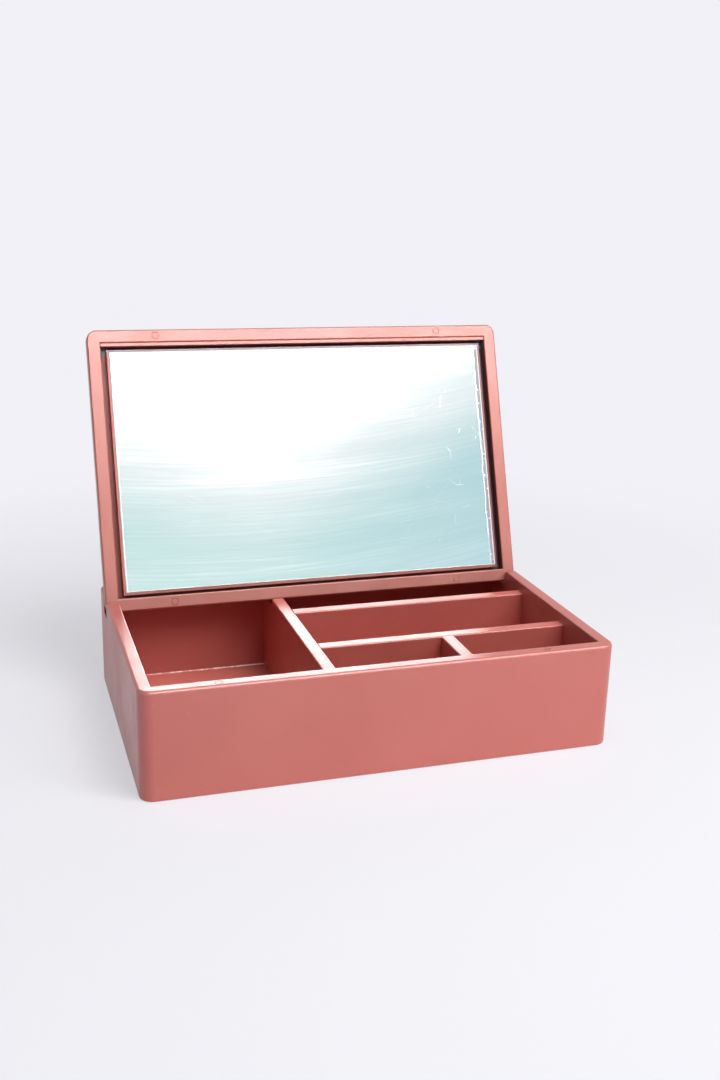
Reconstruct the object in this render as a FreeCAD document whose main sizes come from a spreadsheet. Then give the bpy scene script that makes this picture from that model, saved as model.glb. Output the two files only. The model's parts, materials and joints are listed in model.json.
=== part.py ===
import FreeCAD, Part
import math
import os
import Sketcher

# Accessory box of painted boards. The open base has five compartments. The lid carries a mirror,
# lifts off, and stands leaning back in a notch that runs across the rear of the side walls.
# Millimetres, +X right, +Y back, +Z up, origin on the ground under the middle of the base.

SIZES = {
    # base boards
    "box_width": 322,
    "box_depth": 206,
    "base_height": 74,
    "board": 9,
    "back_board": 18,
    "floor_board": 4,
    "floor_lap": 4,
    # dividers, given by the clear sizes of the compartments that they make
    "divider_drop": 7.5,
    "left_bay_width": 113.5,
    "front_bay_depth": 52,
    "rear_bay_depth": 49,
    "front_left_bay_width": 87.5,
    # notch for the standing lid
    "lid_lean": 20,
    "notch_depth": 12.5,
    "notch_land": 27,
    "notch_round": 2,
    "seat_gap": 0.3,
    # lid
    "lid_board": 4,
    "lid_corner": 7,
    "frame_board": 8,
    "frame_width": 9.5,
    "groove_width": 4.2,
    "groove_height": 3.6,
    "mirror_drop": 1.5,
    "backing_board": 3,
    "backing_lip": 1.6,
    "tape_thickness": 0.8,
    "tape_width": 24,
    "tape_margin": 12,
    "glass_thickness": 3,
    # closing magnets
    "magnet_diameter": 5,
    "magnet_depth": 3,
    "magnet_inset": 50,
    "magnet_sink": 0.2,
    "magnet_clearance": 0.05,
    # edge rounding
    "rim_round": 2,
    "lid_rim_round": 1.2,
    "inner_round": 0.9,
    "foot_round": 1.2,
    "divider_round": 1,
    "lid_round": 2.5,
    "glass_chamfer": 0.6,
    # reach of every cut past the face that it opens
    "overrun": 2,
}

# Places of the tape strips, as shares of the backing's half width
TAPE_SHARES = (-0.7, 0, 0.7)

doc = FreeCAD.newDocument("accessory_box")
sheet = doc.addObject("Spreadsheet::Sheet", "Sizes")
for row, (alias, value) in enumerate(SIZES.items(), start=1):
    sheet.set(f"A{row}", alias)
    sheet.set(f"B{row}", str(value))
    sheet.setAlias(f"B{row}", alias)
doc.recompute()

# Places and sizes worked out from the sheet, as expressions
half_width = "Sizes.box_width / 2"
half_depth = "Sizes.box_depth / 2"
inner_x = f"({half_width} - Sizes.board)"
front_inner_y = f"(Sizes.board - {half_depth})"
back_inner_y = f"({half_depth} - Sizes.back_board)"
floor_half_x = f"({inner_x} + Sizes.floor_lap)"
floor_front_y = f"({front_inner_y} - Sizes.floor_lap)"
floor_back_y = f"({back_inner_y} + Sizes.floor_lap)"
divider_height = "(Sizes.base_height - Sizes.divider_drop - Sizes.floor_board)"
main_left_x = f"(Sizes.left_bay_width - {inner_x})"
main_right_x = f"({main_left_x} + Sizes.board)"
middle_front_y = f"({front_inner_y} + Sizes.front_bay_depth)"
rear_front_y = f"({back_inner_y} - Sizes.rear_bay_depth - Sizes.board)"
magnet_x = f"({half_width} - Sizes.magnet_inset)"
magnet_y = f"({half_depth} - Sizes.board / 2)"
magnet_hole = "(Sizes.magnet_depth + Sizes.magnet_sink)"

# The lid's lower back edge sits on the notch, and its back leans on the notch's rounded rear edge
lid_thickness = "(Sizes.lid_board + Sizes.frame_board)"
notch_rear_y = f"({half_depth} - Sizes.notch_land)"
notch_floor = "(Sizes.base_height - Sizes.notch_depth)"
heel_z = f"({notch_floor} + Sizes.seat_gap)"
lean_drop = f"(Sizes.base_height - Sizes.notch_round - {heel_z}) * sin(Sizes.lid_lean)"
lean_shift = f"({lean_drop} + Sizes.notch_round + Sizes.seat_gap) / cos(Sizes.lid_lean)"
heel_y = f"({notch_rear_y} + Sizes.notch_round - {lean_shift})"
toe_y = f"({heel_y} - {lid_thickness} * cos(Sizes.lid_lean))"
toe_z = f"({heel_z} + {lid_thickness} * sin(Sizes.lid_lean))"
notch_front_y = f"({toe_y} - Sizes.seat_gap)"
lid_centre_y = f"{toe_y} + {half_depth} * sin(Sizes.lid_lean)"
lid_centre_z = f"{toe_z} + {half_depth} * cos(Sizes.lid_lean)"

# Recess of the lid, measured from the lid's middle and down from its rim. The mirror has settled low in it.
backing_half_x = f"({half_width} - Sizes.frame_width - Sizes.groove_width)"
backing_half_y = f"({half_depth} - Sizes.frame_width - Sizes.groove_height)"
glass_half_x = f"({backing_half_x} - Sizes.backing_lip)"
glass_half_y = f"({backing_half_y} - Sizes.backing_lip)"
tape_z = "(Sizes.backing_board - Sizes.frame_board)"
glass_z = f"({tape_z} + Sizes.tape_thickness)"


def number(expression):
    """Value of an expression on the sheet."""
    return float(sheet.evalExpression(expression))


def new_body(label):
    body = doc.addObject("PartDesign::Body", label)
    body.Label = label
    return body


def new_sketch(body, name, role, offset="0"):
    """Sketch on one of the body's own origin planes, moved along the plane's normal."""
    sketch = body.newObject("Sketcher::SketchObject", name)
    plane = next(part for part in body.Origin.OriginFeatures if part.Role == role)
    sketch.AttachmentSupport = [(plane, "")]
    sketch.MapMode = "FlatFace"
    sketch.setExpression("AttachmentOffset.Base.z", offset)
    return sketch


def bind(sketch, constraint, name, expression):
    """Add a dimension to a sketch and tie it to an expression."""
    sketch.renameConstraint(sketch.addConstraint(constraint), name)
    sketch.setExpression(f"Constraints.{name}", expression)


def draw(sketch, corners):
    """Closed outline. A corner is (x, y) or (x, y, radius, turn): an arc then leads to the next corner,
    to the left of the way round where turn is 1 and to the right where it is -1."""
    points = [FreeCAD.Vector(number(c[0]), number(c[1]), 0) for c in corners]
    ends = []
    for index, corner in enumerate(corners):
        start, finish = points[index], points[(index + 1) % len(points)]
        if len(corner) == 2:
            ends.append((sketch.addGeometry(Part.LineSegment(start, finish)), 1, 2))
            continue
        radius, turn = number(corner[2]), corner[3]
        chord = finish - start
        side = FreeCAD.Vector(-chord.y, chord.x, 0).normalize() * turn
        centre = start + chord / 2 + side * math.sqrt(radius ** 2 - (chord.Length / 2) ** 2)
        first, last = (start, finish) if turn > 0 else (finish, start)
        angles = [math.atan2(p.y - centre.y, p.x - centre.x) for p in (first, last)]
        circle = Part.Circle(centre, FreeCAD.Vector(0, 0, 1), radius)
        arc = sketch.addGeometry(Part.ArcOfCircle(circle, *angles))
        ends.append((arc, 1, 2) if turn > 0 else (arc, 2, 1))
    for index, corner in enumerate(corners):
        here, start, finish = ends[index]
        after, after_start, _ = ends[(index + 1) % len(ends)]
        sketch.addConstraint(Sketcher.Constraint("Coincident", here, finish, after, after_start))
        x, y = points[index].x, points[index].y
        bind(sketch, Sketcher.Constraint("DistanceX", -1, 1, here, start, x), f"x{index}", corner[0])
        bind(sketch, Sketcher.Constraint("DistanceY", -1, 1, here, start, y), f"y{index}", corner[1])
        if len(corner) > 2:
            radius = Sketcher.Constraint("Radius", here, number(corner[2]))
            bind(sketch, radius, f"radius{index}", corner[2])


def rectangle(low_x, low_y, high_x, high_y):
    return [(low_x, low_y), (high_x, low_y), (high_x, high_y), (low_x, high_y)]


def settled_rectangle(half_x, half_y):
    """Rectangle in the lid's recess, lower than the lid's middle by the mirror's drop."""
    return rectangle(f"-{half_x}", f"-{half_y} - Sizes.mirror_drop", half_x, f"{half_y} - Sizes.mirror_drop")


def pad(body, sketch, length):
    feature = body.newObject("PartDesign::Pad", f"{body.Name}_pad")
    feature.Profile = sketch
    feature.setExpression("Length", length)
    doc.recompute()


def pocket(body, sketch, length, up=False, both_ways=False):
    """Cut a sketch into the body, and make sure that it did."""
    before = body.Shape.Volume
    feature = body.newObject("PartDesign::Pocket", f"{sketch.Name}_cut")
    feature.Profile = sketch
    feature.Reversed = up
    feature.Midplane = both_ways
    feature.setExpression("Length", length)
    doc.recompute()
    if body.Shape.Volume >= before:
        raise RuntimeError(f"{feature.Name} cut nothing")


def soften(body, name, radius, chosen, kind="PartDesign::Fillet"):
    """Round, or chamfer, the edges of the body that the test picks by their middle point."""
    tip = body.Tip
    edges = enumerate(tip.Shape.Edges, start=1)
    names = [f"Edge{index}" for index, edge in edges if chosen(edge, edge.CenterOfMass)]
    feature = body.newObject(kind, f"{body.Name}_{name}")
    feature.Base = (tip, names)
    feature.setExpression("Radius" if kind.endswith("Fillet") else "Size", radius)
    doc.recompute()


def near(value, target):
    return math.isclose(value, target, abs_tol=1e-4)


def ring_member(side, end_front, end_back, flank, radius):
    """Plan of one member of a mitred ring with rounded outer corners. The ring has the box's outer size.
    end_front, end_back and flank are the widths of its front, back and side members."""
    middle = f"{radius} * (1 - cos(45))"

    def inner(x_sign, y_sign):
        end = end_front if y_sign < 0 else end_back
        return (f"{x_sign} * ({half_width} - {flank})", f"{y_sign} * ({half_depth} - {end})")

    def mitre(x_sign, y_sign):
        return (f"{x_sign} * ({half_width} - {middle})", f"{y_sign} * ({half_depth} - {middle})")

    def on_end(x_sign, y_sign):
        return (f"{x_sign} * ({half_width} - {radius})", f"{y_sign} * {half_depth}")

    def on_flank(x_sign, y_sign):
        return (f"{x_sign} * {half_width}", f"{y_sign} * ({half_depth} - {radius})")

    first, last = {
        "front": ((-1, -1), (1, -1)),
        "right": ((1, -1), (1, 1)),
        "back": ((1, 1), (-1, 1)),
        "left": ((-1, 1), (-1, -1)),
    }[side]
    tangent = on_end if side in ("front", "back") else on_flank
    return [
        inner(*first),
        mitre(*first) + (radius, 1),
        tangent(*first),
        tangent(*last) + (radius, 1),
        mitre(*last),
        inner(*last),
    ]


def soften_ring(body, side, level, outer_name, outer_radius, inner_name=None, inner_radius=None):
    """Round the outer, and if asked the inner, edge of a ring member at one height."""
    across = {"front": (1, -1), "back": (1, 1), "left": (0, -1), "right": (0, 1)}[side]
    axis, sign = across
    half = number(half_depth if axis else half_width)

    def outer(edge, middle):
        if not (near(edge.BoundBox.ZMin, level) and near(edge.BoundBox.ZMax, level)):
            return False
        on_face = near(middle[axis] * sign, half)
        return on_face or isinstance(edge.Curve, Part.Circle)

    def inner(edge, middle):
        if not (near(edge.BoundBox.ZMin, level) and near(edge.BoundBox.ZMax, level)):
            return False
        spread = edge.BoundBox.YLength if axis else edge.BoundBox.XLength
        return near(spread, 0) and middle[axis] * sign < half and not near(middle[axis] * sign, half)

    soften(body, outer_name, outer_radius, outer)
    if inner_name:
        soften(body, inner_name, inner_radius, inner)


def cut_notch(body):
    """Slot across the board for the standing lid, with a rounded mouth at rim height."""
    sketch = new_sketch(body, f"{body.Name}_notch", "YZ_Plane")
    shoulder = "(Sizes.base_height - Sizes.notch_round)"
    above = "(Sizes.base_height + Sizes.overrun)"
    front_flare = f"{notch_front_y} - Sizes.notch_round"
    rear_flare = f"{notch_rear_y} + Sizes.notch_round"
    draw(sketch, [
        (notch_front_y, notch_floor),
        (notch_rear_y, notch_floor),
        (notch_rear_y, shoulder, "Sizes.notch_round", -1),
        (rear_flare, "Sizes.base_height"),
        (rear_flare, above),
        (front_flare, above),
        (front_flare, "Sizes.base_height", "Sizes.notch_round", -1),
        (notch_front_y, shoulder),
    ])
    pocket(body, sketch, "Sizes.box_width + Sizes.overrun", both_ways=True)


def drill_magnets(body, y_sign, top):
    """Blind holes for the two magnets of one wall or rail, from its rim down."""
    sketch = new_sketch(body, f"{body.Name}_magnets", "XY_Plane", top)
    radius = "Sizes.magnet_diameter / 2 + Sizes.magnet_clearance"
    for index, x_sign in enumerate((-1, 1)):
        place = FreeCAD.Vector(x_sign * number(magnet_x), y_sign * number(magnet_y), 0)
        hole = sketch.addGeometry(Part.Circle(place, FreeCAD.Vector(0, 0, 1), number(radius)))
        bind(sketch, Sketcher.Constraint("DistanceX", -1, 1, hole, 3, place.x), f"x{index}",
             f"{x_sign} * {magnet_x}")
        bind(sketch, Sketcher.Constraint("DistanceY", -1, 1, hole, 3, place.y), f"y{index}",
             f"{y_sign} * {magnet_y}")
        bind(sketch, Sketcher.Constraint("Radius", hole, number(radius)), f"radius{index}", radius)
    pocket(body, sketch, magnet_hole)


def stand(item):
    """Take a lid piece from the lid's own flat frame to where the lid stands."""
    item.Placement = FreeCAD.Placement(FreeCAD.Vector(), FreeCAD.Rotation(FreeCAD.Vector(1, 0, 0), 90))
    item.setExpression("Placement.Base.y", lid_centre_y)
    item.setExpression("Placement.Base.z", lid_centre_z)
    item.setExpression("Placement.Rotation.Angle", "90 - Sizes.lid_lean")
    return item


def base_wall(side):
    body = new_body(f"{side}_wall")
    plan = new_sketch(body, f"{side}_wall_plan", "XY_Plane")
    draw(plan, ring_member(side, "Sizes.board", "Sizes.back_board", "Sizes.board", "Sizes.board"))
    pad(body, plan, "Sizes.base_height")
    soften_ring(body, side, number("Sizes.base_height"), "rim", "Sizes.rim_round",
                "inner_rim", "Sizes.inner_round")
    soften_ring(body, side, 0, "foot", "Sizes.foot_round")
    rebate = new_sketch(body, f"{side}_wall_rebate", "XY_Plane")
    draw(rebate, rectangle(f"-{floor_half_x}", floor_front_y, floor_half_x, floor_back_y))
    pocket(body, rebate, "Sizes.floor_board", up=True)
    if side in ("left", "right"):
        cut_notch(body)
    else:
        drill_magnets(body, -1 if side == "front" else 1, "Sizes.base_height")
    return body


def floor_panel():
    panel = doc.addObject("Part::Box", "floor_panel")
    panel.Label = "floor_panel"
    panel.setExpression("Length", f"2 * {floor_half_x}")
    panel.setExpression("Width", f"{floor_back_y} - {floor_front_y}")
    panel.setExpression("Height", "Sizes.floor_board")
    panel.setExpression("Placement.Base.x", f"-{floor_half_x}")
    panel.setExpression("Placement.Base.y", floor_front_y)
    return panel


def divider(label, low_x, low_y, high_x, high_y, along):
    """Board standing on the floor, with its two long top edges rounded. along is 0 for x and 1 for y."""
    body = new_body(label)
    plan = new_sketch(body, f"{label}_plan", "XY_Plane", "Sizes.floor_board")
    draw(plan, rectangle(low_x, low_y, high_x, high_y))
    pad(body, plan, divider_height)
    top = number(f"Sizes.floor_board + {divider_height}")

    def long_top(edge, middle):
        span = (edge.BoundBox.XLength, edge.BoundBox.YLength)
        return near(middle.z, top) and near(span[1 - along], 0)

    soften(body, "top", "Sizes.divider_round", long_top)
    return body


def dividers():
    main = divider("main_divider", main_left_x, front_inner_y, main_right_x, back_inner_y, 1)
    cut_notch(main)
    rear_back = f"{rear_front_y} + Sizes.board"
    rear = divider("rear_divider", main_right_x, rear_front_y, inner_x, rear_back, 0)
    middle_back = f"{middle_front_y} + Sizes.board"
    middle = divider("middle_divider", main_right_x, middle_front_y, inner_x, middle_back, 0)
    short_left = f"({main_right_x} + Sizes.front_left_bay_width)"
    short_right = f"{short_left} + Sizes.board"
    short = divider("short_divider", short_left, front_inner_y, short_right, middle_front_y, 1)
    return [main, rear, middle, short]


def magnets(label, top):
    """The four magnets of the base or of the lid, as one group of discs."""
    discs = []
    for x_sign in (-1, 1):
        for y_sign in (-1, 1):
            disc = doc.addObject("Part::Cylinder", f"{label}_disc")
            disc.setExpression("Radius", "Sizes.magnet_diameter / 2")
            disc.setExpression("Height", "Sizes.magnet_depth")
            disc.setExpression("Placement.Base.x", f"{x_sign} * {magnet_x}")
            disc.setExpression("Placement.Base.y", f"{y_sign} * {magnet_y}")
            disc.setExpression("Placement.Base.z", f"{top} - {magnet_hole}")
            discs.append(disc)
    group = doc.addObject("Part::Compound", label)
    group.Label = label
    group.Links = discs
    return group


def lid_panel():
    body = new_body("lid_panel")
    outer = new_sketch(body, "lid_panel_plan", "XY_Plane", f"-{lid_thickness}")
    radius = "Sizes.lid_corner"
    corners = []
    for x_sign, y_sign in ((1, -1), (1, 1), (-1, 1), (-1, -1)):
        on_end = (f"{x_sign} * ({half_width} - {radius})", f"{y_sign} * {half_depth}")
        on_flank = (f"{x_sign} * {half_width}", f"{y_sign} * ({half_depth} - {radius})")
        first, last = (on_end, on_flank) if x_sign * y_sign < 0 else (on_flank, on_end)
        corners += [first + (radius, 1), last]
    draw(outer, corners)
    pad(body, outer, "Sizes.lid_board")
    level = number(f"-{lid_thickness}")
    soften(body, "outer_edge", "Sizes.lid_round",
           lambda edge, middle: near(edge.BoundBox.ZMin, level) and near(edge.BoundBox.ZMax, level))
    return stand(body)


def lid_member(side, label):
    """One mitred member of the lid's rim. Its front face is the lid's rim."""
    body = new_body(label)
    plan = new_sketch(body, f"{label}_plan", "XY_Plane", "-Sizes.frame_board")
    width = "Sizes.frame_width"
    draw(plan, ring_member(side, width, width, width, "Sizes.lid_corner"))
    pad(body, plan, "Sizes.frame_board")
    soften_ring(body, side, 0, "rim", "Sizes.lid_rim_round", "inner_rim", "Sizes.inner_round")
    if side in ("front", "back"):
        drill_magnets(body, -1 if side == "front" else 1, "0")
    return stand(body)


def mirror_backing():
    body = new_body("mirror_backing")
    plan = new_sketch(body, "mirror_backing_plan", "XY_Plane", "-Sizes.frame_board")
    draw(plan, settled_rectangle(backing_half_x, backing_half_y))
    pad(body, plan, "Sizes.backing_board")
    top = number(tape_z)
    soften(body, "lip", "Sizes.inner_round", lambda edge, middle: near(edge.BoundBox.ZMin, top))
    return stand(body)


def mirror_tape():
    strips = []
    for share in TAPE_SHARES:
        strip = doc.addObject("Part::Box", "mirror_tape_strip")
        half_length = f"({glass_half_y} - Sizes.tape_margin)"
        strip.setExpression("Length", "Sizes.tape_width")
        strip.setExpression("Width", f"2 * {half_length}")
        strip.setExpression("Height", "Sizes.tape_thickness")
        strip.setExpression("Placement.Base.x", f"{share} * {glass_half_x} - Sizes.tape_width / 2")
        strip.setExpression("Placement.Base.y", f"-{half_length} - Sizes.mirror_drop")
        strip.setExpression("Placement.Base.z", tape_z)
        strips.append(strip)
    group = doc.addObject("Part::Compound", "mirror_tape")
    group.Label = "mirror_tape"
    group.Links = strips
    return stand(group)


def mirror_glass():
    body = new_body("mirror_glass")
    plan = new_sketch(body, "mirror_glass_plan", "XY_Plane", glass_z)
    draw(plan, settled_rectangle(glass_half_x, glass_half_y))
    pad(body, plan, "Sizes.glass_thickness")
    face = number(f"{glass_z} + Sizes.glass_thickness")
    soften(body, "arris", "Sizes.glass_chamfer",
           lambda edge, middle: near(edge.BoundBox.ZMin, face), kind="PartDesign::Chamfer")
    return stand(body)


parts = [base_wall(side) for side in ("front", "right", "back", "left")]
parts += [floor_panel()]
parts += dividers()
parts += [magnets("base_magnets", "Sizes.base_height")]
parts += [lid_panel()]
parts += [
    lid_member("front", "lid_lower_rail"),
    lid_member("right", "lid_right_stile"),
    lid_member("back", "lid_upper_rail"),
    lid_member("left", "lid_left_stile"),
]
parts += [mirror_backing(), mirror_tape(), mirror_glass()]
parts += [stand(magnets("lid_magnets", "0"))]
doc.recompute()

for item in doc.Objects:
    if "Invalid" in item.State or "Error" in item.State:
        raise RuntimeError(f"{item.Label} failed: {item.State}")
for part in parts:
    if part.Shape.isNull() or not part.Shape.isValid():
        raise RuntimeError(f"{part.Label} has no valid shape")

os.makedirs("parts", exist_ok=True)
for part in parts:
    part.Shape.exportStep(f"parts/{part.Label}.step")
    box = part.Shape.BoundBox
    print(f"{part.Label}: {box.XLength:.2f} x {box.YLength:.2f} x {box.ZLength:.2f} mm, "
          f"{len(part.Shape.Solids)} solid(s), {part.Shape.Volume:.0f} mm3")
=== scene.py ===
import json
from math import atan2, radians, tau

import bmesh
import bpy
from mathutils import Matrix, Vector


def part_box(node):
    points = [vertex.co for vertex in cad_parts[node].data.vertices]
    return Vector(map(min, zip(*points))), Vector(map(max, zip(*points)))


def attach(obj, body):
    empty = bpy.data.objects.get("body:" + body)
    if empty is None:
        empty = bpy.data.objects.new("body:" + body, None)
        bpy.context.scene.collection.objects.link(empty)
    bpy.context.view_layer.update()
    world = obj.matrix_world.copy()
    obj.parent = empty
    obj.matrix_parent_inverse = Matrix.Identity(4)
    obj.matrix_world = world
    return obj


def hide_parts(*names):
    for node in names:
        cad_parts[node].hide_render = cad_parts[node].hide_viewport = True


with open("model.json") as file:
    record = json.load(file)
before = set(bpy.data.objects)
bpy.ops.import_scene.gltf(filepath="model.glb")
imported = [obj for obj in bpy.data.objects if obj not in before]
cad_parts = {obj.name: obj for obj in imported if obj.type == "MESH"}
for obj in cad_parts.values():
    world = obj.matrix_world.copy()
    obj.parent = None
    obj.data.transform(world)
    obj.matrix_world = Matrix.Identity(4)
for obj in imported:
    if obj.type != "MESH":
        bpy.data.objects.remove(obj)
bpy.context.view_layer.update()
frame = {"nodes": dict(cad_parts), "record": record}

nodes = frame["nodes"]
print("frame loaded:", len(nodes), "nodes")

# the lid's own directions: x across, y up along the mirror, z out of it
lidAxis = Vector(frame["record"]["behaviour"]["joints"][0]["axis"])
lidAngle = atan2(lidAxis.z, lidAxis.y)
lidTurn = Matrix.Rotation(lidAngle, 4, "X")


def boxCorners(name):
    return [Vector(corner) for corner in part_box(name)]


def boxCentre(name):
    low, high = boxCorners(name)
    return (low + high) / 2


# the middle of the lid, in the plane of its rim: its magnets lie as deep as those of the base
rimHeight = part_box("front_wall")[1][2]
rimToDisc = rimHeight - boxCentre("base_magnets").z
lidCentre = boxCentre("lid_magnets") + lidTurn.to_3x3() @ Vector((0, 0, rimToDisc))
lidPlacing = Matrix.Translation(lidCentre) @ lidTurn

# half the width and half the height of the opening inside the lid's frame
stileLow, stileHigh = boxCorners("lid_left_stile")
openX = -stileHigh.x
openY = -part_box("front_wall")[0][1] - (stileHigh.x - stileLow.x)


# helpers for shader trees: a value may be a number, a colour or another node's output
def plug(tree, value, socket):
    if isinstance(value, bpy.types.NodeSocket):
        tree.links.new(value, socket)
    elif socket.type == "RGBA":
        socket.default_value = (*value, 1)
    else:
        socket.default_value = value


def plugAll(tree, node, values):
    for name, value in values.items():
        plug(tree, value, node.inputs[name])


def addNode(tree, kind, inputs=None, **options):
    node = tree.nodes.new(kind)
    for name, value in options.items():
        setattr(node, name, value)
    plugAll(tree, node, inputs or {})
    return node


def calc(tree, operation, *values):
    node = addNode(tree, "ShaderNodeMath", operation=operation)
    for socket, value in zip(node.inputs, values):
        plug(tree, value, socket)
    return node.outputs["Value"]


def product(tree, first, *others):
    for other in others:
        first = calc(tree, "MULTIPLY", first, other)
    return first


def ramp(tree, value, low, high, toLow=0.0, toHigh=1.0, smooth=False):
    inputs = {"Value": value, "From Min": low, "From Max": high, "To Min": toLow, "To Max": toHigh}
    kind = "SMOOTHSTEP" if smooth else "LINEAR"
    return addNode(tree, "ShaderNodeMapRange", inputs, interpolation_type=kind).outputs["Result"]


def noise(tree, vector, scale, detail=3.0, roughness=0.5, output="Fac"):
    inputs = {"Vector": vector, "Scale": scale, "Detail": detail, "Roughness": roughness}
    return addNode(tree, "ShaderNodeTexNoise", inputs).outputs[output]


def cells(tree, vector, scale, feature="F1"):
    inputs = {"Vector": vector, "Scale": scale}
    return addNode(tree, "ShaderNodeTexVoronoi", inputs, feature=feature).outputs["Distance"]


# 1 inside small round dots, 0 between them
def dots(tree, vector, scale, clear, full):
    return ramp(tree, cells(tree, vector, scale), clear, full)


# 1 in scattered patches, 0 between them
def patches(tree, vector, scale, clear, full, detail=2.0):
    return ramp(tree, noise(tree, vector, scale, detail), clear, full)


# a Mix node has an A, a B and a Result for each kind of data, told apart by their identifiers
def mix(tree, factor, first, second, data, ending):
    node = addNode(tree, "ShaderNodeMix", {"Factor": factor}, data_type=data)
    sockets = {socket.identifier: socket for socket in (*node.inputs, *node.outputs)}
    plug(tree, first, sockets[f"A_{ending}"])
    plug(tree, second, sockets[f"B_{ending}"])
    return sockets[f"Result_{ending}"]


def mixColor(tree, factor, first, second):
    return mix(tree, factor, first, second, "RGBA", "Color")


# lays one shader over another where the factor is 1
def mixShader(tree, factor, under, over):
    node = addNode(tree, "ShaderNodeMixShader", {"Fac": factor})
    for value, socket in zip((under, over), list(node.inputs)[1:]):
        plug(tree, value, socket)
    return node.outputs["Shader"]


# a shader group with named inputs and outputs, each given with its kind
def newGroup(name, inputs, outputs):
    tree = bpy.data.node_groups.new(name, "ShaderNodeTree")
    for direction, sockets in (("INPUT", inputs), ("OUTPUT", outputs)):
        for label, kind in sockets.items():
            tree.interface.new_socket(label, in_out=direction, socket_type=f"NodeSocket{kind}")
    return tree, tree.nodes.new("NodeGroupInput").outputs, tree.nodes.new("NodeGroupOutput")


def newMaterial(name):
    material = bpy.data.materials.new(name)
    material.use_nodes = True
    tree = material.node_tree
    return material, tree, tree.nodes["Principled BSDF"]


def objectPlace(tree):
    return addNode(tree, "ShaderNodeTexCoord").outputs["Object"]


def splitPlace(tree, vector):
    return addNode(tree, "ShaderNodeSeparateXYZ", {"Vector": vector}).outputs


# a place in the lid's own directions, counted from a centre that the material gives
def makeLidPlaceGroup():
    tree, given, out = newGroup("lidPlace", {"Centre": "Vector"}, {"Place": "Vector"})
    inputs = {"Vector": objectPlace(tree), "Location": given["Centre"], "Rotation": (lidAngle, 0, 0)}
    flat = addNode(tree, "ShaderNodeMapping", inputs, vector_type="TEXTURE")
    plug(tree, flat.outputs["Vector"], out.inputs["Place"])
    return tree


lidPlaceGroup = makeLidPlaceGroup()


def lidPlace(tree, centre):
    node = addNode(tree, "ShaderNodeGroup", {"Centre": centre}, node_tree=lidPlaceGroup)
    return node.outputs["Place"]


noiseSpan = (0.3, 0.7)  # most of a noise lies between these

lacquerSettings = {
    "cloudScale": 9.0, "cloudDetail": 4.0, "cloudRoughness": 0.55,
    "nib": (0.86, 0.62, 0.56), "nibHeight": 0.8,
    "nibDots": (150.0, 0.10, 0.05), "nibPatches": (22.0, 0.56, 0.66),  # scale, clear from, full from
    "rubScale": 34.0, "rubDetail": 5.0, "rubLow": -0.05, "rubHigh": 0.06,  # how far the gloss varies
    "peelScale": 420.0, "peelDetail": 2.0,
    "bump": 0.12, "bumpDepth": 0.0003,
}


# sprayed satin lacquer: cloudy tone, faint orange peel, a few pale dust nibs
def makeLacquerGroup():
    s = lacquerSettings
    tree, given, out = newGroup(
        "sprayedLacquer",
        {"Base": "Color", "Shade": "Color", "Nib Amount": "Float", "Gloss": "Float"},
        {"Color": "Color", "Roughness": "Float", "Height": "Float"})
    place = objectPlace(tree)
    cloud = noise(tree, place, s["cloudScale"], s["cloudDetail"], s["cloudRoughness"])
    tone = mixColor(tree, ramp(tree, cloud, *noiseSpan), given["Shade"], given["Base"])
    nibs = product(tree, dots(tree, place, *s["nibDots"]), patches(tree, place, *s["nibPatches"]))
    rub = noise(tree, place, s["rubScale"], s["rubDetail"])
    rub = ramp(tree, rub, *noiseSpan, s["rubLow"], s["rubHigh"])
    peel = noise(tree, place, s["peelScale"], s["peelDetail"])
    plugAll(tree, out, {
        "Color": mixColor(tree, product(tree, nibs, given["Nib Amount"]), tone, s["nib"]),
        "Roughness": calc(tree, "ADD", given["Gloss"], rub),
        "Height": calc(tree, "MULTIPLY_ADD", nibs, s["nibHeight"], peel)})
    return tree


lacquerGroup = makeLacquerGroup()

recessShadeSettings = {
    # colours of the painted shade in the recess round the mirror
    "dark": (0.080, 0.018, 0.016), "plum": (0.125, 0.045, 0.050), "grey": (0.19, 0.17, 0.22),
    "lapClear": 0.0004, "lapFull": 0.0001,  # how far the painted shade laps into the frame's inner faces
    "under": 0.0008, "full": 0.0022,  # how far below the rim the painted shade starts and is full
    "deep": 0.0090, "clear": 0.0095,  # below the recess, so that the lid's back keeps its paint
    "rightBand": 0.010, "rightFull": 0.8,  # the plum band of painted shadow at the right, full to that share of it
    "topBand": 0.0085, "topFull": 0.9,  # the grey band of painted shade at the top
    "stepClear": 0.0032, "stepFull": 0.0038,  # the grey starts below the step under the upper rail
}
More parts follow.
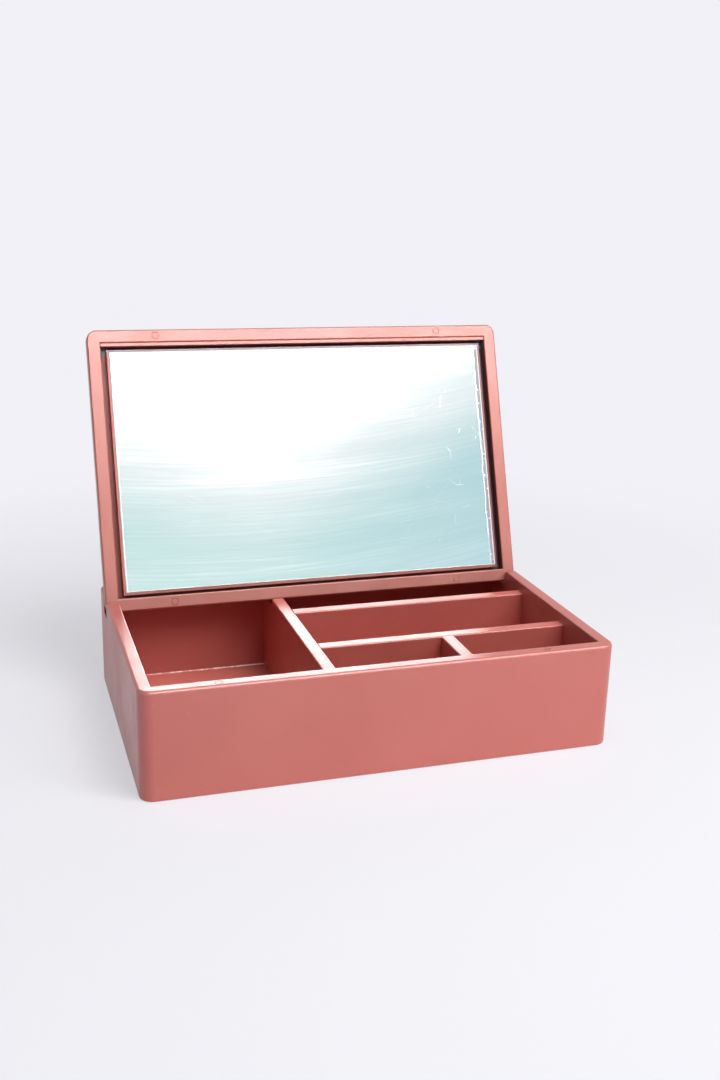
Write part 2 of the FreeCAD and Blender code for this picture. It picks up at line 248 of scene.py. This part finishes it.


# the recess round the mirror, darkened with painted shade:
# dark all round, a plum painted shadow to the right and grey painted shade at the top
def makeRecessShadeGroup():
    s = recessShadeSettings
    tree, given, out = newGroup(
        "recessPaintedShade",
        {"Color": "Color", "Sides": "Float", "Right": "Float", "Top": "Float"}, {"Color": "Color"})
    axes = splitPlace(tree, lidPlace(tree, lidCentre))
    toRight = calc(tree, "SUBTRACT", openX, axes["X"])
    toTop = calc(tree, "SUBTRACT", openY, axes["Y"])
    toSide = calc(tree, "SUBTRACT", openX, calc(tree, "ABSOLUTE", axes["X"]))
    toEnd = calc(tree, "SUBTRACT", openY, calc(tree, "ABSOLUTE", axes["Y"]))
    within = ramp(tree, calc(tree, "MINIMUM", toSide, toEnd), -s["lapClear"], -s["lapFull"])
    # where the recess takes its painted shade: below the rim's face and above the lid's back
    recess = product(tree, within, ramp(tree, axes["Z"], -s["under"], -s["full"]),
                     ramp(tree, axes["Z"], -s["clear"], -s["deep"]))
    right = ramp(tree, toRight, s["rightBand"], s["rightBand"] * s["rightFull"])
    top = product(tree, ramp(tree, toTop, s["topBand"], s["topBand"] * s["topFull"]),
                  ramp(tree, toTop, s["stepClear"], s["stepFull"]))
    color = mixColor(tree, product(tree, recess, given["Sides"]), given["Color"], s["dark"])
    color = mixColor(tree, product(tree, recess, right, given["Right"]), color, s["plum"])
    color = mixColor(tree, product(tree, recess, top, given["Top"]), color, s["grey"])
    plug(tree, color, out.inputs["Color"])
    return tree


recessShadeGroup = makeRecessShadeGroup()

# recess: how strong the painted shade of the recess is on that piece at its sides, right and top
# shine: specular level
# the floor and divider paints are lighter copies of the wall paint, as painted light, and the rim, backing
# and magnet paints darker copies, as painted shade
paintSettings = {
    "wall_paint": {
        "base": (0.545, 0.148, 0.124), "shade": (0.515, 0.135, 0.112), "gloss": 0.335, "nibs": 0.12},
    "floor_paint": {
        "base": (0.66, 0.178, 0.148), "shade": (0.60, 0.156, 0.128), "gloss": 0.44, "nibs": 0.5},
    "divider_paint": {
        "base": (0.62, 0.159, 0.129), "shade": (0.572, 0.142, 0.114), "gloss": 0.335, "nibs": 0.3},
    "lid_paint": {
        "base": (0.545, 0.148, 0.124), "shade": (0.515, 0.135, 0.112), "gloss": 0.36, "nibs": 0.25,
        "recess": (0.35, 1.0, 1.0), "shine": 0.15},
    "rim_paint": {
        "base": (0.425, 0.111, 0.082), "shade": (0.400, 0.101, 0.073), "gloss": 0.335, "nibs": 0.2,
        "recess": (0.4, 1.0, 0.6)},
    "backing_paint": {
        "base": (0.48, 0.14, 0.108), "shade": (0.44, 0.122, 0.094), "gloss": 0.36, "nibs": 0.2,
        "recess": (0.1, 1.0, 1.0), "shine": 0.3},
    "magnet": {
        "base": (0.425, 0.111, 0.082), "shade": (0.400, 0.101, 0.073), "gloss": 0.34, "nibs": 0.2},
}


# lacquers a shader, and gives back the colour that is still to be plugged in
def addLacquer(tree, shader, paint):
    inputs = {"Base": paint["base"], "Shade": paint["shade"], "Gloss": paint["gloss"],
              "Nib Amount": paint["nibs"]}
    skin = addNode(tree, "ShaderNodeGroup", inputs, node_tree=lacquerGroup)
    bump = addNode(tree, "ShaderNodeBump", {
        "Height": skin.outputs["Height"], "Strength": lacquerSettings["bump"],
        "Distance": lacquerSettings["bumpDepth"]})
    plugAll(tree, shader, {"Roughness": skin.outputs["Roughness"], "Normal": bump.outputs["Normal"]})
    return skin.outputs["Color"]


def makePaint(slot, paint):
    material, tree, shader = newMaterial(slot)
    color = addLacquer(tree, shader, paint)
    # the recess round the mirror gets its painted shade
    if "recess" in paint:
        inputs = {"Color": color, **dict(zip(("Sides", "Right", "Top"), paint["recess"]))}
        color = addNode(tree, "ShaderNodeGroup", inputs, node_tree=recessShadeGroup).outputs["Color"]
    plug(tree, color, shader.inputs["Base Color"])
    if "shine" in paint:
        plug(tree, paint["shine"], shader.inputs["Specular IOR Level"])
    return material


mirrorSettings = {
    "silver": (0.80, 0.88, 0.89), "smear": (1.0, 1.0, 1.0), "ground": (0.92, 0.93, 0.92),
    "worn": (0.24, 0.235, 0.30), "chip": (0.90, 0.90, 0.92),
    "polish": 0.03, "smearRough": 0.12, "dullRough": 0.6,
    # wiping marks: scale across and up the glass, clear from, full from, detail, roughness
    "broad": (3.5, 42.0, 0.40, 0.68, 3.0, 0.5),
    "fine": (10.0, 560.0, 0.42, 0.66, 5.0, 0.65),
    "hair": (30.0, 1300.0, 0.48, 0.70, 4.0, 0.6),
    "crossing": (14.0, 420.0, 0.68, 0.76, 2.0, 0.5), "crossingSlopes": (-0.45, 0.3, 0.9),
    "broadShare": 0.42, "hairShare": 0.2, "crossingShare": 0.8,
    "fineLow": 0.25, "fineHigh": 0.65,  # the fine marks' share off and on the broad ones
    "arch": 0.5, "archFrom": -0.05,  # the marks rise away from that place across the glass
    "thinFrom": -0.02, "thinTo": 0.14, "thinShare": 0.5,  # and they thin out to the right
    # scratches and specks on the right of the glass; dots and patches: scale, clear from, full from
    "scratchScale": 60.0, "scratchClear": 0.018, "scratchFull": 0.007,
    "wobble": 0.015, "wobbleScale": 55.0, "wobbleDetail": 2.0,
    "scratchPatches": (75.0, 0.57, 0.62), "scratchFrom": 0.03, "scratchTo": 0.10,
    "speckDots": (180.0, 0.13, 0.07), "speckPatches": (30.0, 0.55, 0.62), "speckDetail": 3.0,
    "speckFrom": 0.06, "speckTo": 0.14,
    # the ground edge, and the worn strip at the right with its chips
    "edgeWidth": 0.0011, "wornWidth": 0.0046, "widthFull": 0.7,
    "ragged": 0.0015, "raggedScale": 160.0, "chipDots": (240.0, 0.22, 0.10),
}


# wiping marks in long thin streaks, and a few long scratches that cross them
def addWiping(tree, across, up):
    s = mirrorSettings
    offset = calc(tree, "SUBTRACT", across, s["archFrom"])
    level = calc(tree, "SUBTRACT", up, product(tree, offset, offset, s["arch"]))

    def streaks(mark, slope=0.0):
        acrossScale, upScale, clear, full, detail, roughness = s[mark]
        tilted = calc(tree, "MULTIPLY_ADD", across, -slope, level)
        vector = addNode(tree, "ShaderNodeCombineXYZ", {
            "X": product(tree, across, acrossScale), "Y": product(tree, tilted, upScale)})
        grain = noise(tree, vector.outputs["Vector"], 1.0, detail, roughness)
        return ramp(tree, grain, clear, full)

    broad = streaks("broad")
    wiped = ramp(tree, broad, 0.0, 1.0, s["fineLow"], s["fineHigh"])
    wiped = product(tree, streaks("fine"), wiped)
    wiped = calc(tree, "MULTIPLY_ADD", broad, s["broadShare"], wiped)
    wiped = calc(tree, "MULTIPLY_ADD", streaks("hair"), s["hairShare"], wiped)
    thinner = ramp(tree, across, s["thinFrom"], s["thinTo"], 1.0, s["thinShare"])
    wiped = product(tree, wiped, thinner)
    for slope in s["crossingSlopes"]:
        crossing = product(tree, streaks("crossing", slope), s["crossingShare"])
        wiped = calc(tree, "MAXIMUM", wiped, crossing)
    return wiped


# short curved scratches and specks
def addScratches(tree, place, across):
    s = mirrorSettings
    wobble = noise(tree, place, s["wobbleScale"], s["wobbleDetail"], output="Color")
    bent = mix(tree, s["wobble"], place, wobble, "VECTOR", "Vector")
    line = cells(tree, bent, s["scratchScale"], "DISTANCE_TO_EDGE")
    scratch = product(tree, ramp(tree, line, s["scratchClear"], s["scratchFull"]),
                      patches(tree, place, *s["scratchPatches"]),
                      ramp(tree, across, s["scratchFrom"], s["scratchTo"]))
    speck = product(tree, dots(tree, place, *s["speckDots"]),
                    patches(tree, place, *s["speckPatches"], s["speckDetail"]),
                    ramp(tree, across, s["speckFrom"], s["speckTo"]))
    return calc(tree, "MAXIMUM", scratch, speck)


# silvered glass with wiping marks and scratches, a ground edge and a worn strip at the right
def makeMirror():
    s = mirrorSettings
    material, tree, shader = newMaterial("mirror")
    low, high = boxCorners("mirror_glass")
    half = (high - low) / 2
    halfUp = (half.z * lidAxis.z - half.y * lidAxis.y) / (lidAxis.z ** 2 - lidAxis.y ** 2)
    place = lidPlace(tree, (low + high) / 2)
    axes = splitPlace(tree, place)
    across, up = axes["X"], axes["Y"]
    marks = calc(tree, "MAXIMUM", addWiping(tree, across, up), addScratches(tree, place, across))
    marks = calc(tree, "MINIMUM", marks, 1.0)
    ragged = noise(tree, place, s["raggedScale"])
    ragged = calc(tree, "MULTIPLY_ADD", ragged, 2 * s["ragged"], -s["ragged"])
    fromRight = calc(tree, "ADD", calc(tree, "SUBTRACT", half.x, across), ragged)
    worn = ramp(tree, fromRight, s["wornWidth"], s["wornWidth"] * s["widthFull"])
    sideGap = calc(tree, "SUBTRACT", half.x, calc(tree, "ABSOLUTE", across))
    endGap = calc(tree, "SUBTRACT", halfUp, calc(tree, "ABSOLUTE", up))
    gap = calc(tree, "MINIMUM", sideGap, endGap)
    edge = ramp(tree, gap, s["edgeWidth"], s["edgeWidth"] * s["widthFull"])
    chips = product(tree, worn, dots(tree, place, *s["chipDots"]))
    tint = mixColor(tree, marks, s["silver"], s["smear"])
    tint = mixColor(tree, worn, tint, s["worn"])
    tint = mixColor(tree, chips, tint, s["chip"])
    dull = calc(tree, "MAXIMUM", edge, worn)
    rough = ramp(tree, marks, 0.0, 1.0, s["polish"], s["smearRough"])
    plugAll(tree, shader, {
        "Base Color": mixColor(tree, edge, tint, s["ground"]),
        "Roughness": calc(tree, "MAXIMUM", rough, product(tree, dull, s["dullRough"])),
        "Metallic": calc(tree, "SUBTRACT", 1.0, dull)})
    return material


tapeSettings = {
    "foamScale": 900.0, "pore": (0.62, 0.62, 0.60), "skin": (0.82, 0.82, 0.80), "roughness": 0.8,
}


def makeTape():
    s = tapeSettings
    material, tree, shader = newMaterial("tape")
    foam = cells(tree, objectPlace(tree), s["foamScale"])
    plugAll(tree, shader, {
        "Base Color": mixColor(tree, foam, s["pore"], s["skin"]), "Roughness": s["roughness"]})
    return material


slotMaterials = {slot: makePaint(slot, paint) for slot, paint in paintSettings.items()}
slotMaterials["mirror"] = makeMirror()
slotMaterials["tape"] = makeTape()
for part in frame["record"]["subparts"]:
    node = nodes[part["node"]]
    node.data.materials.clear()
    node.data.materials.append(slotMaterials[part["material_slot"]])
print("materials set on", len(nodes), "nodes")


def addObject(name, mesh, material, smooth=True):
    data = bpy.data.meshes.new(name)
    mesh.to_mesh(data)
    mesh.free()
    for face in data.polygons:
        face.use_smooth = smooth
    data.materials.append(material)
    item = bpy.data.objects.new(name, data)
    bpy.context.scene.collection.objects.link(item)
    return item


def onlyVerts(geometry):
    return [item for item in geometry if isinstance(item, bmesh.types.BMVert)]


magnetSettings = {
    "radius": 0.0025, "thickness": 0.003, "sink": 0.0002,
    "disc": 0.0022, "moat": 0.00015,  # flat of the disc, and depth of the gap round it under the paint
    "ring": 0.0026, "skirt": 0.00285, "proud": 0.0001,  # raised ring of paint round the hole
    "steps": 40, "weld": 1e-6,
}


# painted-over closing magnets: a flat disc, a shallow gap and a slightly raised ring of paint
def makeMagnets(name, node, body, place):
    s = magnetSettings
    radius, disc, moat = s["radius"], s["disc"], s["moat"]
    halfX, halfY = (abs(value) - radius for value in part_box("base_magnets")[1][:2])
    bottom = -s["sink"] - s["thickness"]
    profile = [(0, 0), (disc, 0), (disc + moat, -moat), (radius - moat, -moat), (radius, 0),
               (s["ring"], s["proud"]), (s["skirt"], -s["proud"]), (radius, -moat),
               (radius, bottom), (0, bottom)]
    mesh = bmesh.new()
    for x, y in ((x, y) for x in (-halfX, halfX) for y in (-halfY, halfY)):
        verts = [mesh.verts.new((x + across, y, up)) for across, up in profile]
        edges = [mesh.edges.new(pair) for pair in zip(verts, verts[1:])]
        bmesh.ops.spin(mesh, geom=verts + edges, cent=(x, y, 0), axis=(0, 0, 1), angle=tau,
                       steps=s["steps"], use_merge=True)
    bmesh.ops.remove_doubles(mesh, verts=mesh.verts, dist=s["weld"])
    bmesh.ops.recalc_face_normals(mesh, faces=mesh.faces)
    bmesh.ops.transform(mesh, matrix=place, verts=mesh.verts)
    caps = addObject(name, mesh, slotMaterials["magnet"], smooth=False)
    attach(caps, body)
    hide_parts(node)


makeMagnets("baseMagnetCaps", "base_magnets", "base", Matrix.Translation((0, 0, rimHeight)))
makeMagnets("lidMagnetCaps", "lid_magnets", "lid", lidPlacing)

seamSettings = {
    "bead": 0.0008, "skin": 0.0002,
    "filler": (0.90, 0.56, 0.48), "reach": 0.003,  # pale filler in the seams along the back wall
    "fillerPatches": (110.0, 0.44, 0.52),  # scale, clear from, full from
}


# the beads carry the floor's paint, with broken pale filler along the back wall
def makeSeamPaint(back):
    s = seamSettings
    material, tree, shader = newMaterial("seam")
    color = addLacquer(tree, shader, paintSettings["floor_paint"])
    place = objectPlace(tree)
    near = ramp(tree, splitPlace(tree, place)["Y"], back - s["reach"], back - s["reach"] / 2)
    filler = product(tree, near, patches(tree, place, *s["fillerPatches"]))
    plug(tree, mixColor(tree, filler, color, s["filler"]), shader.inputs["Base Color"])
    return material


# a flat rectangular frame of four faces; gives back its outer corners
def addFrame(mesh, low, high, height, width):
    centre = ((low[0] + high[0]) / 2, (low[1] + high[1]) / 2, height)
    corners = bmesh.ops.create_grid(mesh, x_segments=1, y_segments=1, size=0.5)["verts"]
    bmesh.ops.scale(mesh, verts=corners, vec=(high[0] - low[0], high[1] - low[1], 1))
    bmesh.ops.translate(mesh, verts=corners, vec=centre)
    middle = corners[0].link_faces[0]
    ring = bmesh.ops.inset_region(mesh, faces=[middle], thickness=width, use_boundary=True,
                                  use_even_offset=True)
    bmesh.ops.delete(mesh, geom=[middle], context="FACES_ONLY")
    verts = {vert for face in ring["faces"] for vert in face.verts}
    return [vert for vert in verts if not low[0] + width / 2 < vert.co.x < high[0] - width / 2]


# thin beads of paint where the floor meets the walls and dividers of each compartment
def makeSeams():
    s = seamSettings
    boxes = {name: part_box(f"{name}_divider") for name in ("main", "rear", "middle", "short")}
    left, front, floor = boxes["main"][0]
    right, back = boxes["main"][1][:2]
    inner = boxes["rear"][1][0]
    rearFront, rearBack = boxes["rear"][0][1], boxes["rear"][1][1]
    middleFront, middleBack = boxes["middle"][0][1], boxes["middle"][1][1]
    shortLeft, shortRight = boxes["short"][0][0], boxes["short"][1][0]
    bays = [(-inner, front, left, back), (right, rearBack, inner, back),
            (right, middleBack, inner, rearFront), (right, front, shortLeft, middleFront),
            (shortRight, front, inner, middleFront)]
    mesh = bmesh.new()
    for lowX, lowY, highX, highY in bays:
        corners = addFrame(mesh, (lowX, lowY), (highX, highY), floor, s["bead"])
        bmesh.ops.translate(mesh, verts=corners, vec=(0, 0, s["bead"]))
    bmesh.ops.solidify(mesh, geom=mesh.faces[:], thickness=s["skin"])
    bmesh.ops.recalc_face_normals(mesh, faces=mesh.faces)
    seams = addObject("floorSeams", mesh, makeSeamPaint(back), smooth=False)
    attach(seams, "base")


makeSeams()

lidTrimSettings = {
    "stepWidth": 0.0026, "stepDrop": 0.0007,  # step under the upper rail, just below its face
    "lipWidth": 0.00155, "lipGap": 0.00005, "lipDrop": 0.0007,  # painted lip that stands round the glass
    "round": 0.0003, "roundSteps": 2,
}


# a node's lowest and highest place in the lid's own directions
def lidReach(name):
    toLid = lidPlacing.inverted()
    points = [toLid @ Vector(vert.co) for vert in nodes[name].data.vertices]
    return [[pick(point[axis] for point in points) for axis in range(3)] for pick in (min, max)]


# the painted step that runs along under the upper rail
def makeUpperRailStep():
    s = lidTrimSettings
    back = lidReach("lid_left_stile")[0][2]
    mesh = bmesh.new()
    verts = bmesh.ops.create_cube(mesh, size=1.0)["verts"]
    bmesh.ops.scale(mesh, verts=verts, vec=(2 * openX, s["stepWidth"], -back - s["stepDrop"]))
    bmesh.ops.translate(mesh, verts=verts,
                        vec=(0, openY - s["stepWidth"] / 2, (back - s["stepDrop"]) / 2))
    bmesh.ops.bevel(mesh, geom=mesh.edges[:], offset=s["round"], affect="EDGES",
                    segments=s["roundSteps"], profile=0.5, material=-1)
    bmesh.ops.transform(mesh, matrix=lidPlacing, verts=mesh.verts)
    return addObject("upperRailStep", mesh, slotMaterials["rim_paint"], smooth=False)


# the painted lip round the glass, which ends just below the glass's face
def makeMirrorLip():
    s = lidTrimSettings
    low, high = lidReach("mirror_glass")
    reach = s["lipGap"] + s["lipWidth"]
    mesh = bmesh.new()
    addFrame(mesh, (low[0] - reach, low[1] - reach), (high[0] + reach, high[1] + reach), low[2],
             s["lipWidth"])
    grown = bmesh.ops.extrude_face_region(mesh, geom=mesh.faces[:])["geom"]
    bmesh.ops.translate(mesh, verts=onlyVerts(grown), vec=(0, 0, high[2] - low[2] - s["lipDrop"]))
    bmesh.ops.recalc_face_normals(mesh, faces=mesh.faces)
    bmesh.ops.transform(mesh, matrix=lidPlacing, verts=mesh.verts)
    return addObject("mirrorLip", mesh, slotMaterials["backing_paint"], smooth=False)


for item, slot in ((makeUpperRailStep(), "rim_paint"), (makeMirrorLip(), "backing_paint")):
    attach(item, "lid")
print("magnet caps, floor seams and lid trim made")

floorSettings = {
    "color": (0.86, 0.88, 0.93), "roughness": 0.75,
    "pale": (0.885, 0.877, 0.925), "paleNear": 0.6, "nearRadius": 0.25, "farRadius": 0.8,
    "front": -2.6, "back": 1.7, "halfWidth": 3.2, "height": 2.8, "sweep": 0.9, "sweepSteps": 24,
}


# 1 until a dull surface has scattered the light
def unscattered(tree, path):
    return calc(tree, "LESS_THAN", path["Diffuse Depth"], 0.5)


# 1 where a surface is seen directly, in a reflection or through glass,
# and 0 for light that a dull surface scatters
def seenDirectly(tree):
    path = addNode(tree, "ShaderNodeLightPath").outputs
    seen = calc(tree, "MAXIMUM", path["Is Camera Ray"], path["Is Glossy Ray"])
    seen = calc(tree, "MAXIMUM", seen, path["Is Transmission Ray"])
    return product(tree, seen, unscattered(tree, path))


# pale paper that lies flat and sweeps up behind the box
def makeFloor():
    s = floorSettings
    mesh = bmesh.new()
    ends = [mesh.verts.new((x, s["front"], 0)) for x in (-s["halfWidth"], s["halfWidth"])]
    edge = mesh.edges.new(ends)
    for step in ((0, s["back"] - s["front"], 0), (0, 0, s["height"])):
        verts = onlyVerts(bmesh.ops.extrude_edge_only(mesh, edges=[edge])["geom"])
        bmesh.ops.translate(mesh, verts=verts, vec=step)
        bend, edge = edge, next(e for e in mesh.edges if set(e.verts) == set(verts))
    bmesh.ops.bevel(mesh, geom=[bend], offset=s["sweep"], affect="EDGES",
                    segments=s["sweepSteps"], profile=0.5, material=-1)
    bmesh.ops.recalc_face_normals(mesh, faces=mesh.faces)
    material, tree, shader = newMaterial("floorPaper")
    plugAll(tree, shader, {"Base Color": s["color"], "Roughness": s["roughness"]})
    # seen directly or in a reflection the paper is evenly pale, and near the box it keeps the shadow
    distance = addNode(tree, "ShaderNodeVectorMath", operation="LENGTH")
    plug(tree, objectPlace(tree), distance.inputs[0])
    evenness = ramp(tree, distance.outputs["Value"], s["nearRadius"], s["farRadius"],
                    s["paleNear"], 1.0, smooth=True)
    pale = addNode(tree, "ShaderNodeEmission", {"Color": s["pale"]})
    paper = mixShader(tree, product(tree, seenDirectly(tree), evenness),
                      shader.outputs["BSDF"], pale.outputs["Emission"])
    plug(tree, paper, tree.nodes["Material Output"].inputs["Surface"])
    addObject("floor", mesh, material)


makeFloor()

cardSettings = {
    "centre": (0.5, -1.6, 1.0), "width": 2.6, "height": 1.8,
    "mint": (0.72, 0.885, 0.875), "deepMint": (0.575, 0.765, 0.805), "deepFrom": 0.25, "deepTo": 0.95,
    "white": (1.0, 1.0, 1.0),
    "dipX": 0.36, "dipZ": 0.890, "dipWidth": 0.08, "rise": 0.5,  # lowest place and slope of the edge
    "cloudScale": 4.0, "cloudReach": 0.04,  # how unevenly the edge runs
    "fadeBelow": -0.17, "fadeAbove": 0.06,
    "glow": 2.8, "glowFrom": 0.02, "glowTo": 0.40,  # the window brightens above its edge
    "topGlow": 33.0, "topFrom": 1.28, "topTo": 1.42,  # and most of all at the top
}


# what the mirror looks at: a pale mint wall with a bright window above it
def makeCard():
    s = cardSettings
    mesh = bmesh.new()
    bmesh.ops.create_grid(mesh, x_segments=1, y_segments=1, size=0.5)
    bmesh.ops.scale(mesh, verts=mesh.verts, vec=(s["width"], s["height"], 1))
    bmesh.ops.rotate(mesh, verts=mesh.verts, matrix=Matrix.Rotation(radians(-90), 3, "X"))
    bmesh.ops.translate(mesh, verts=mesh.verts, vec=s["centre"])
    material, tree, shader = newMaterial("mirrorCard")
    tree.nodes.remove(shader)
    place = objectPlace(tree)
    axes = splitPlace(tree, place)
    offset = calc(tree, "SUBTRACT", axes["X"], s["dipX"])
    aside = calc(tree, "SQRT", calc(tree, "MULTIPLY_ADD", offset, offset, s["dipWidth"] ** 2))
    border = calc(tree, "MULTIPLY_ADD", aside, s["rise"], s["dipZ"] - s["rise"] * s["dipWidth"])
    cloud = noise(tree, place, s["cloudScale"])
    cloud = calc(tree, "MULTIPLY_ADD", cloud, 2 * s["cloudReach"], -s["cloudReach"])
    above = calc(tree, "ADD", calc(tree, "SUBTRACT", axes["Z"], border), cloud)
    fade = ramp(tree, above, s["fadeBelow"], s["fadeAbove"], smooth=True)
    deeper = ramp(tree, axes["X"], s["deepFrom"], s["deepTo"])
    wall = mixColor(tree, deeper, s["mint"], s["deepMint"])
    bright = ramp(tree, above, s["glowFrom"], s["glowTo"], 1.0, s["glow"], smooth=True)
    brightest = ramp(tree, axes["Z"], s["topFrom"], s["topTo"], 0.0, s["topGlow"] - s["glow"],
                     smooth=True)
    path = addNode(tree, "ShaderNodeLightPath").outputs
    strength = product(tree, calc(tree, "ADD", bright, brightest), unscattered(tree, path))
    glow = addNode(tree, "ShaderNodeEmission", {
        "Color": mixColor(tree, fade, wall, s["white"]), "Strength": strength})
    plug(tree, glow.outputs["Emission"], tree.nodes["Material Output"].inputs["Surface"])
    card = addObject("mirrorCard", mesh, material)
    card.visible_camera = False  # it is there only to be reflected
    card.visible_diffuse = False
    card.visible_shadow = False


makeCard()

worldSettings = {"color": (0.95, 0.96, 1.0), "strength": 0.06}


# faint even light, and the paper's pale tone where the world itself is seen
def makeWorld():
    world = bpy.data.worlds.new("studio")
    world.use_nodes = True
    tree = world.node_tree
    faint = tree.nodes["Background"]
    plugAll(tree, faint, {"Color": worldSettings["color"], "Strength": worldSettings["strength"]})
    pale = addNode(tree, "ShaderNodeBackground", {"Color": floorSettings["pale"]})
    sky = mixShader(tree, seenDirectly(tree), faint.outputs["Background"], pale.outputs["Background"])
    plug(tree, sky, tree.nodes["World Output"].inputs["Surface"])
    bpy.context.scene.world = world


makeWorld()

lampSettings = {
    "key": {"place": (0.36, -0.62, 1.45), "size": (0.75, 0.75), "power": 15, "color": (1.0, 0.98, 0.96)},
    "top": {"place": (0.0, -0.25, 1.5), "size": (0.9, 0.9), "power": 5, "color": (1.0, 0.99, 0.98)},
    "right": {"place": (0.85, -0.75, 1.0), "size": (0.4, 0.5), "power": 4.5, "color": (1.0, 0.98, 0.96)},
    "fill": {"place": (0.2, -0.85, 0.04), "size": (1.0, 0.08), "power": 2.0, "color": (1.0, 0.98, 0.97)},
    "side": {"place": (-0.95, -0.15, 0.05), "size": (0.5, 0.08), "power": 0.7, "color": (0.78, 0.87, 1.0)},
}


# each lamp is a soft panel that faces the box
def makeLamp(name, s):
    data = bpy.data.lights.new(name, "AREA")
    data.shape = "RECTANGLE"
    data.size, data.size_y = s["size"]
    data.energy = s["power"]
    data.color = s["color"]
    lamp = bpy.data.objects.new(name, data)
    lamp.location = s["place"]
    lamp.rotation_euler = (-Vector(s["place"])).to_track_quat("-Z", "Y").to_euler()
    bpy.context.scene.collection.objects.link(lamp)


for lampName, lampValues in lampSettings.items():
    makeLamp(lampName, lampValues)

cameraSettings = {
    "place": (-0.2464, -0.78101, 0.37954), "turn": (72.954, -1.4915, -17.7128),
    "lens": 61.172, "sensor": 36.0, "nearest": 0.01,
}


def makeCamera():
    s = cameraSettings
    data = bpy.data.cameras.new("camera")
    data.sensor_fit = "HORIZONTAL"
    data.sensor_width = s["sensor"]
    data.lens = s["lens"]
    data.clip_start = s["nearest"]
    camera = bpy.data.objects.new("camera", data)
    camera.location = s["place"]
    camera.rotation_euler = [radians(angle) for angle in s["turn"]]
    bpy.context.scene.collection.objects.link(camera)
    bpy.context.scene.camera = camera


makeCamera()
bpy.context.scene.view_settings.view_transform = "Standard"
print("studio ready")
